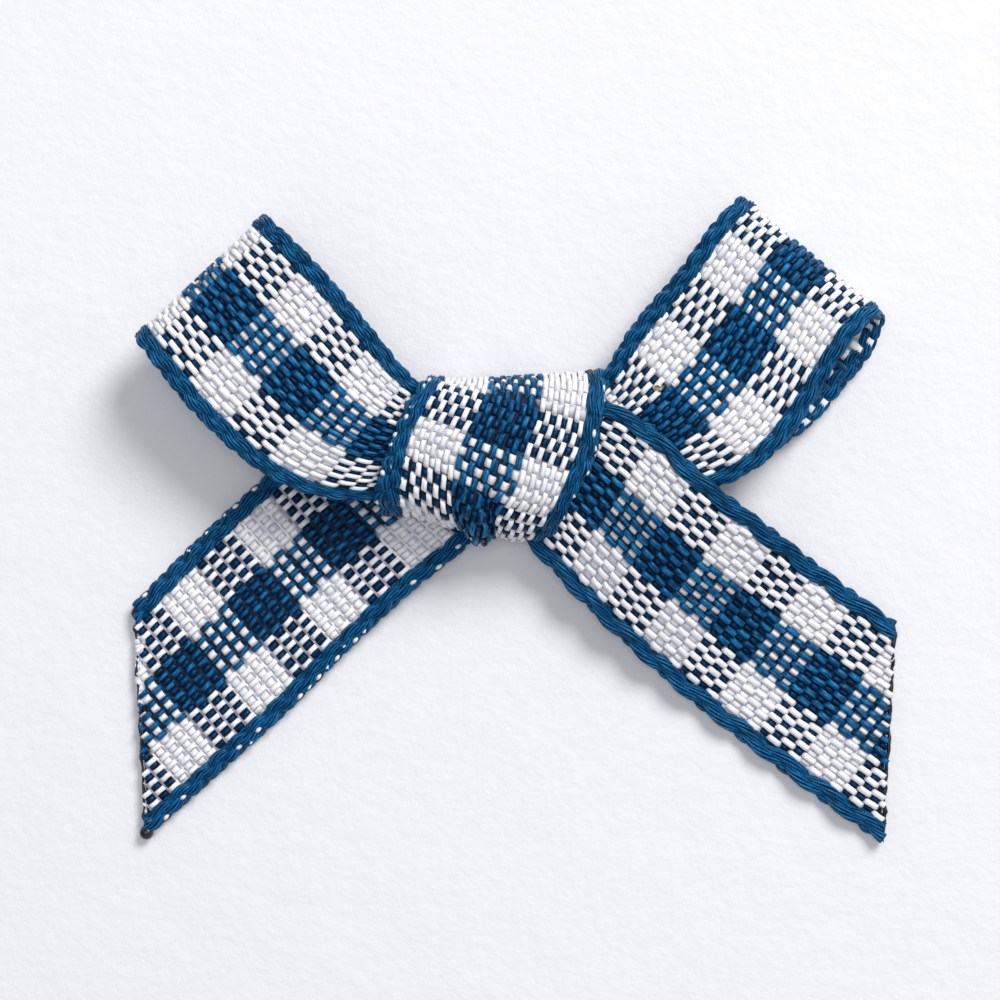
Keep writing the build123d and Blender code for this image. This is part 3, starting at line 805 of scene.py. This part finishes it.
class BowColourSettings(bpy.types.PropertyGroup):
    # Also the painted shade down the blue yarn's sides, besides its darker random tone.
    blue_deep: FloatVectorProperty(
        name="Blue, Deep", description="Blue yarn in its folds", subtype="COLOR",
        default=(0.0003, 0.007, 0.03), min=0, max=1,
    )
    blue: FloatVectorProperty(
        name="Blue", description="Blue yarn", subtype="COLOR",
        default=(0.001, 0.048, 0.16), min=0, max=1,
    )
    # Darker than the ends' blue: painted shade on the picks, which sit lower.
    blue_pick: FloatVectorProperty(
        name="Blue, Picks", description="Blue yarn that runs across", subtype="COLOR",
        default=(0.0006, 0.013, 0.05), min=0, max=1,
    )
    blue_bright: FloatVectorProperty(
        name="Blue, Bright", description="Blue filaments that catch light", subtype="COLOR",
        default=(0.012, 0.22, 0.52), min=0, max=1,
    )
    white: FloatVectorProperty(
        name="White", description="White yarn", subtype="COLOR",
        default=(0.97, 0.97, 0.985), min=0, max=1,
    )
    # Also the painted shade down the white yarn's sides, besides its darker random tone.
    white_deep: FloatVectorProperty(
        name="White, Deep", description="White yarn in its folds", subtype="COLOR",
        default=(0.76, 0.765, 0.83), min=0, max=1,
    )
    seal: FloatVectorProperty(
        name="Sealed End", description="Melted yarn", subtype="COLOR",
        default=(0.006, 0.006, 0.012), min=0, max=1,
    )
    amber: FloatVectorProperty(
        name="Glue", description="The droplet's colour", subtype="COLOR",
        default=(0.44, 0.36, 0.24), min=0, max=1,
    )
    paper: FloatVectorProperty(
        name="Paper", description="The floor's colour", subtype="COLOR",
        default=(0.9, 0.905, 0.935), min=0, max=1,
    )


# ---- pieces --------------------------------------------------------------------------------------
def finishes(colours):
    """The yarns' four finishes, in the order of their kinds, and the finish of the cloth under them."""
    plain_shine, blue_shine = (1, 1, 1), (0.25, 0.65, 1.0)
    # The third colour of each yarn is its painted highlight.
    white = yarn_finish(
        "White Yarn", colours.white_deep, colours.white, (0.99, 0.99, 1.0), gloss=0.45,
        highlight_gain=0.6, shine=plain_shine, painted_crevice_shade=0.75,
    )
    blue = yarn_finish(
        "Blue Yarn", colours.blue_deep, colours.blue, colours.blue_bright, gloss=0.32,
        highlight_gain=0.85, shine=blue_shine, painted_crevice_shade=0.9,
    )
    # The blue darkened for the picks, as painted shade, with the ends' blue as its painted highlight.
    blue_pick_shade = yarn_finish(
        "Blue Pick Yarn", colours.blue_deep, colours.blue_pick, colours.blue, gloss=0.4,
        highlight_gain=0.8, shine=blue_shine, painted_crevice_shade=0.9,
    )
    # A darker copy of the white yarn, for binders in the blue-pick blocks: painted shade.
    white_binder_shade = yarn_finish(
        "Binding Yarn", (0.2, 0.2, 0.3), (0.42, 0.42, 0.55), (0.62, 0.62, 0.72), gloss=0.5,
        highlight_gain=0.5, shine=plain_shine, painted_crevice_shade=0.6,
    )
    white.set(IOR=1.45)
    blue.set(IOR=1.5)
    # The sheet follows the check, in colours darker than the yarns: painted shade in the gaps, pale
    # grey-lilac under white and near-black under blue.
    cloth = Finish("Cloth Under The Yarns In Painted Shade")
    tone = cloth.node("ShaderNodeAttribute", {"attribute_name": "tone"}, output=2)
    place = cloth.node("ShaderNodeTexCoord", output=3)
    grain = cloth.noise(place, 9000.0, 2.0, 0.6)
    dark = cloth.mix(grain, (0.0008, 0.006, 0.025), (0.002, 0.016, 0.055))
    pale = cloth.mix(grain, (0.58, 0.58, 0.66), (0.72, 0.72, 0.8))
    cloth.set(Base_Color=cloth.mix(tone, pale, dark), Roughness=0.8)
    return [white.material, blue.material, white_binder_shade.material, blue_pick_shade.material], cloth.material


def melt_finish(colours):
    """Melted yarn: dark and glassy, or milky where only white yarn has melted."""
    f = Finish("Melted Yarn")
    place = f.node("ShaderNodeTexCoord", output=3)
    tone = f.node("ShaderNodeAttribute", {"attribute_name": "tone"}, output=2)
    clot = f.noise(place, 2600.0, 3.0, 0.6)
    dark = f.mix(f.spread(clot, 0.4, 0.7), colours.seal, (0.03, 0.028, 0.04))
    milky = f.mix(f.spread(clot, 0.35, 0.65), (0.62, 0.7, 0.85), (0.88, 0.9, 0.95))
    f.set(Base_Color=f.mix(tone, dark, milky), Roughness=f.spread(clot, 0.3, 0.7, 0.18, 0.38))
    return f.set(Normal=f.bump(clot, 0.5, 0.03 * MM)).material


def glue_finish(colours):
    """Set glue: clear amber, browner and paler in patches of noise, with a wet shine."""
    f = Finish("Set Glue")
    place = f.node("ShaderNodeTexCoord", output=3)
    cloud = f.noise(place, 7500.0, 2.0, 0.5)
    tint = f.mix(f.spread(cloud, 0.38, 0.62), (0.12, 0.06, 0.025), colours.amber)
    tint = f.mix(f.spread(f.noise(place, 5100.0, 1.0, 0.5), 0.5, 0.6), tint, (0.85, 0.8, 0.7))
    return f.set(Base_Color=tint, Roughness=0.08, Coat_Weight=0.6, IOR=1.5).material


def weave(run, name, body, nodes, floats=2, reverse=False, binders=False, joint=None):
    """Weaves one stretch: its ground, warp, picks and selvedges, each bound to its body, or, where a joint
    is given, left unparented with its transform baked.
    The nodes are those that the warp stands for, and each selvedge's name and the nodes it stands for."""
    colours = bpy.context.scene.bow_colours
    yarns, cloth = finishes(colours)
    ground = run.ground(name + "_ground")
    lift = -0.01 if reverse else 0.01  # the warp lies a little nearer to the side that shows
    pieces = {
        "warp": run.warp_ends(name + "_warp", lift),
        "picks": run.picks(name + "_picks", -lift),
        "one": run.selvedge(f"{name}_{nodes[1][0]}_yarns", -1, floats, reverse),
        "other": run.selvedge(f"{name}_{nodes[2][0]}_yarns", 1, floats, reverse),
    }
    if binders:
        pieces["binders"] = run.binders(name + "_binders")
    ground.data.materials.append(cloth)
    for piece in pieces.values():
        for material in yarns:
            piece.data.materials.append(material)
    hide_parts(*nodes[0])
    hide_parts(*nodes[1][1])
    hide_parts(*nodes[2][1])
    for key, piece in {"ground": ground, **pieces}.items():
        if joint:
            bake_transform(piece)
        else:
            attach(piece, body)
        "selvedge" if key in ("one", "other") else "woven_band"
    width = run.settings.width
    low, high = run.bounds(run.ends)
    width * float((high - low).mean()) * MM


def settings_of(context):
    return context.scene.bow_ribbon


class BOW_OT_left_loop(bpy.types.Operator):
    """Weave the left loop, from inside the knot round its fold and back"""

    bl_idname = "bow.left_loop"
    bl_label = "Left Loop"

    def execute(self, context):
        lie = Lie(rungs(in_frame(*LEFT_LOOP_FRAME), LEFT_LOOP), 1, BETWEEN_EDGES)
        blue = lie.find(-8.93, 5.41, above=2.0)[0] - 0.35
        run = Run(settings_of(context), lie, blue)
        nodes = (
            ["left_loop_band", "knot_core"],
            ("upper_selvedge", ["left_loop_upper_selvedge"]),
            ("lower_selvedge", ["left_loop_lower_selvedge"]),
        )
        weave(run, "left_loop", "bow", nodes)
        return {"FINISHED"}


class BOW_OT_right_loop(bpy.types.Operator):
    """Weave the right loop, from inside the knot round its fold and back"""

    bl_idname = "bow.right_loop"
    bl_label = "Right Loop"

    def execute(self, context):
        lie = Lie(rungs(in_frame(*RIGHT_LOOP_FRAME), RIGHT_LOOP), -1, BETWEEN_EDGES)
        blue = lie.find(10.9, 6.1, above=1.6)[0] + 0.45
        run = Run(settings_of(context), lie, blue)
        nodes = (
            ["right_loop_band"],
            ("upper_selvedge", ["right_loop_upper_selvedge"]),
            ("lower_selvedge", ["right_loop_lower_selvedge"]),
        )
        weave(run, "right_loop", "bow", nodes)
        return {"FINISHED"}


class BOW_OT_right_tail(bpy.types.Operator):
    """Weave the right tail, face up, from the knot to its slanted cut"""

    bl_idname = "bow.right_tail"
    bl_label = "Right Tail"

    def execute(self, context):
        lie = Lie(rungs(in_frame(*RIGHT_TAIL_FRAME), RIGHT_TAIL), -1, BETWEEN_EDGES)
        stop = straight(lie, (14.45, -6.0), (14.05, -13.5))
        under_wrap = straight(lie, (1.5, -3.0), (3.25, 0.1))

        def start(across):
            return np.maximum(under_wrap(across), 0)

        blue = lie.find(6.79, -3.2)[0]
        run = Run(settings_of(context), lie, blue, start=start, stop=stop)
        nodes = (
            ["right_tail_band", "right_tail_root"],
            ("upper_selvedge", ["right_tail_upper_selvedge"]),
            ("lower_selvedge", ["right_tail_lower_selvedge"]),
        )
        flex = Vector((2.967, -0.338, 2.85))
        ahead = Vector((0.9205, -0.3907, 0))
        joint = ("bow", "right_tail", (flex - ahead * 0.6) * MM, (flex + ahead * 1.4) * MM)
        weave(run, "right_tail", None, nodes, floats=4, joint=joint)
        spots = [(-2.95, 0.1, 0.13, 0.8, 0.0), (2.95, 0.16, 0.12, 0.8, 0.0)]
        sealed = beads("right_tail_sealed_edge_melt", run, stop, spots, 0.075)
        sealed.data.materials.append(melt_finish(context.scene.bow_colours))
        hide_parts("right_tail_sealed_edge")
        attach(sealed, "right_tail")
        return {"FINISHED"}


class BOW_OT_left_tail(bpy.types.Operator):
    """Weave the left tail, reverse up, from under the left loop to its slanted cut"""

    bl_idname = "bow.left_tail"
    bl_label = "Left Tail"

    def execute(self, context):
        lie = Lie(rungs(in_frame(*LEFT_TAIL_FRAME), LEFT_TAIL), -1, BETWEEN_EDGES)
        stop = straight(lie, (-12.4, -5.65), (-12.05, -13.4))
        under_wrap = straight(lie, (-3.6, -2.0), (-0.3, -2.95))

        def start(across):
            return np.where(across > 0.6, np.maximum(under_wrap(across), 0), 0.0)

        blue = lie.find(-7.32, -4.94)[0] + 0.75
        run = Run(settings_of(context), lie, blue, start=start, stop=stop)
        nodes = (
            ["left_tail_band", "left_tail_root_band"],
            ("upper_selvedge", ["left_tail_upper_selvedge", "left_tail_root_upper_selvedge"]),
            ("lower_selvedge", ["left_tail_lower_selvedge", "left_tail_root_lower_selvedge"]),
        )
        flex = Vector((-5.704, -3.454, 0.49))
        ahead = Vector((-0.7431, -0.6691, 0))
        joint = ("bow", "left_tail", (flex - ahead) * MM, (flex + ahead) * MM)
        weave(run, "left_tail", None, nodes, reverse=True, binders=True, joint=joint)
        one, other = lie.find(-12.43, -5.88)[1], lie.find(-12.0, -13.48)[1]
        spots = [
            (one, 0.05, 0.2, 0.8, 0.0), (one * 0.86, 0.05, 0.17, 0.7, 0.0),
            (other, 0.05, 0.24, 0.8, 0.0), (other * 0.93, 0.2, 0.2, 0.8, 0.0),
        ]
        milky_drops = 70
        pale = np.random.default_rng(WEAVE_SEED)
        for _ in range(milky_drops):
            across = pale.uniform(0.15, 0.8) * one
            spots.append((across, pale.uniform(0.0, 0.32), pale.uniform(0.06, 0.13), 0.6, 1.0))
        sealed = beads("left_tail_sealed_edge_melt", run, stop, spots, 0.06)
        sealed.data.materials.append(melt_finish(context.scene.bow_colours))
        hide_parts("left_tail_sealed_edge")
        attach(sealed, "left_tail")
        return {"FINISHED"}


class BOW_OT_knot_wrap(bpy.types.Operator):
    """Weave the turn round the knot, reverse up, with its pleat"""

    bl_idname = "bow.knot_wrap"
    bl_label = "Knot Wrap"

    def execute(self, context):
        lie = Lie(wrap_rows(), -1, BETWEEN_EDGES, closed=True, relief=tuck_relief)
        blue = lie.find(0.56, 1.23, above=2.0)[0] + 0.25
        run = Run(settings_of(context), lie, blue, pick_count=32, lean=-0.1)
        nodes = (
            ["knot_wrap_band"],
            ("left_selvedge", ["knot_wrap_left_selvedge"]),
            ("right_selvedge", ["knot_wrap_right_selvedge"]),
        )
        weave(run, "knot_wrap", "bow", nodes, reverse=True)
        return {"FINISHED"}


class BOW_OT_droplet(bpy.types.Operator):
    """Set the droplet of glue on the right loop"""

    bl_idname = "bow.droplet"
    bl_label = "Glue Droplet"

    def execute(self, context):
        low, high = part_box("glue_droplet")
        middle = (Vector(low) + Vector(high)) / 2
        size = (high[0] - low[0]) / 2
        bpy.ops.object.select_all(action="DESELECT")
        bpy.ops.mesh.primitive_uv_sphere_add(segments=32, ring_count=20, radius=size, location=middle)
        droplet = context.object
        droplet.name = droplet.data.name = "glue_droplet_bead"
        bpy.ops.transform.resize(value=(1.15, 0.95, 1.0), center_override=middle)
        bpy.ops.object.transform_apply(location=True, rotation=True, scale=True)
        bpy.ops.object.shade_smooth()
        droplet.data.materials.append(glue_finish(context.scene.bow_colours))
        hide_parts("glue_droplet")
        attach(droplet, "bow")
        return {"FINISHED"}


class BOW_OT_stage(bpy.types.Operator):
    """Lay the paper floor, and set the lights and the camera"""

    bl_idname = "bow.stage"
    bl_label = "Stage"

    def execute(self, context):
        bpy.ops.object.select_all(action="DESELECT")
        floor_side, floor_gap = 3.0, 0.02 * MM
        bpy.ops.mesh.primitive_plane_add(size=floor_side, location=(0, 0, -floor_gap))
        floor = context.object
        floor.name = "floor"
        bpy.ops.object.transform_apply(location=True, rotation=True, scale=True)
        paper = Finish("Paper")
        place = paper.node("ShaderNodeTexCoord", output=3)
        tooth = paper.noise(place, 2200.0, 4.0, 0.65)
        fibre = paper.noise(place, 350.0, 3.0, 0.55)
        colour = paper.mix(fibre * 0.25, context.scene.bow_colours.paper, (0.86, 0.865, 0.9))
        paper.set(Base_Color=colour, Roughness=0.9, Normal=paper.bump(tooth + fibre * 2.0, 0.7, 0.05 * MM))
        floor.data.materials.append(paper.material)

        def lamp(name, place, size, power, tint):
            data = bpy.data.lights.new(name, "AREA")
            data.shape, data.size, data.energy, data.color = "DISK", size, power, tint
            made = bpy.data.objects.new(name, data)
            context.scene.collection.objects.link(made)
            made.location = place
            to_middle = Vector((0, 0, 0)) - Vector(place)
            made.rotation_euler = to_middle.to_track_quat("-Z", "Y").to_euler()

        lamp("key_light", (0.15, 0.22, 0.25), size=0.17, power=1.08, tint=(1.0, 0.985, 0.975))
        lamp("fill_light", (-0.02, 0.0, 0.42), size=0.2, power=0.38, tint=(0.98, 0.985, 1.0))
        world = bpy.data.worlds.new("Studio")
        world.use_nodes = True
        sky_colour, sky_power = world.node_tree.nodes["Background"].inputs[:2]
        sky_colour.default_value = (0.93, 0.95, 1.0, 1)
        sky_power.default_value = 0.32
        context.scene.world = world
        view = bpy.data.cameras.new("Camera")
        view.sensor_width, view.sensor_height, view.sensor_fit = 36, 36, "HORIZONTAL"
        view.lens = 120
        view.clip_start, view.clip_end = 0.001, 10
        camera = bpy.data.objects.new("Camera", view)
        context.scene.collection.objects.link(camera)
        seen_width = 35.0 * MM
        x, y, level = 0.49 * MM, -1.75 * MM, 1.4 * MM
        camera.location = (x, y, level + seen_width * view.lens / view.sensor_width)
        context.scene.camera = camera
        context.scene.view_settings.view_transform = "Standard"
        return {"FINISHED"}


class BOW_PT_panel(bpy.types.Panel):
    """Lists the bow's pieces in the sidebar"""

    bl_label = "Gift Bow"
    bl_idname = "BOW_PT_panel"
    bl_space_type = "VIEW_3D"
    bl_region_type = "UI"
    bl_category = "Gift Bow"

    def draw(self, context):
        layout = self.layout
        for group in (context.scene.bow_ribbon, context.scene.bow_colours):
            box = layout.box()
            for key in group.bl_rna.properties.keys():
                if key not in ("rna_type", "name"):
                    box.prop(group, key)
        for operator in OPERATORS:
            layout.operator(operator.bl_idname)


OPERATORS = (
    BOW_OT_stage,
    BOW_OT_left_loop,
    BOW_OT_right_loop,
    BOW_OT_right_tail,
    BOW_OT_left_tail,
    BOW_OT_knot_wrap,
    BOW_OT_droplet,
)
CLASSES = (BowRibbonSettings, BowColourSettings, *OPERATORS, BOW_PT_panel)


def register():
    for item in CLASSES:
        bpy.utils.register_class(item)
    bpy.types.Scene.bow_ribbon = PointerProperty(type=BowRibbonSettings)
    bpy.types.Scene.bow_colours = PointerProperty(type=BowColourSettings)


def unregister():
    del bpy.types.Scene.bow_colours
    del bpy.types.Scene.bow_ribbon
    for item in reversed(CLASSES):
        bpy.utils.unregister_class(item)


def main():
    register()
    bpy.ops.bow.stage()
    bpy.ops.bow.left_loop()
    bpy.ops.bow.right_loop()
    bpy.ops.bow.right_tail()
    bpy.ops.bow.left_tail()
    bpy.ops.bow.knot_wrap()
    bpy.ops.bow.droplet()


if __name__ == "__main__":
    main()
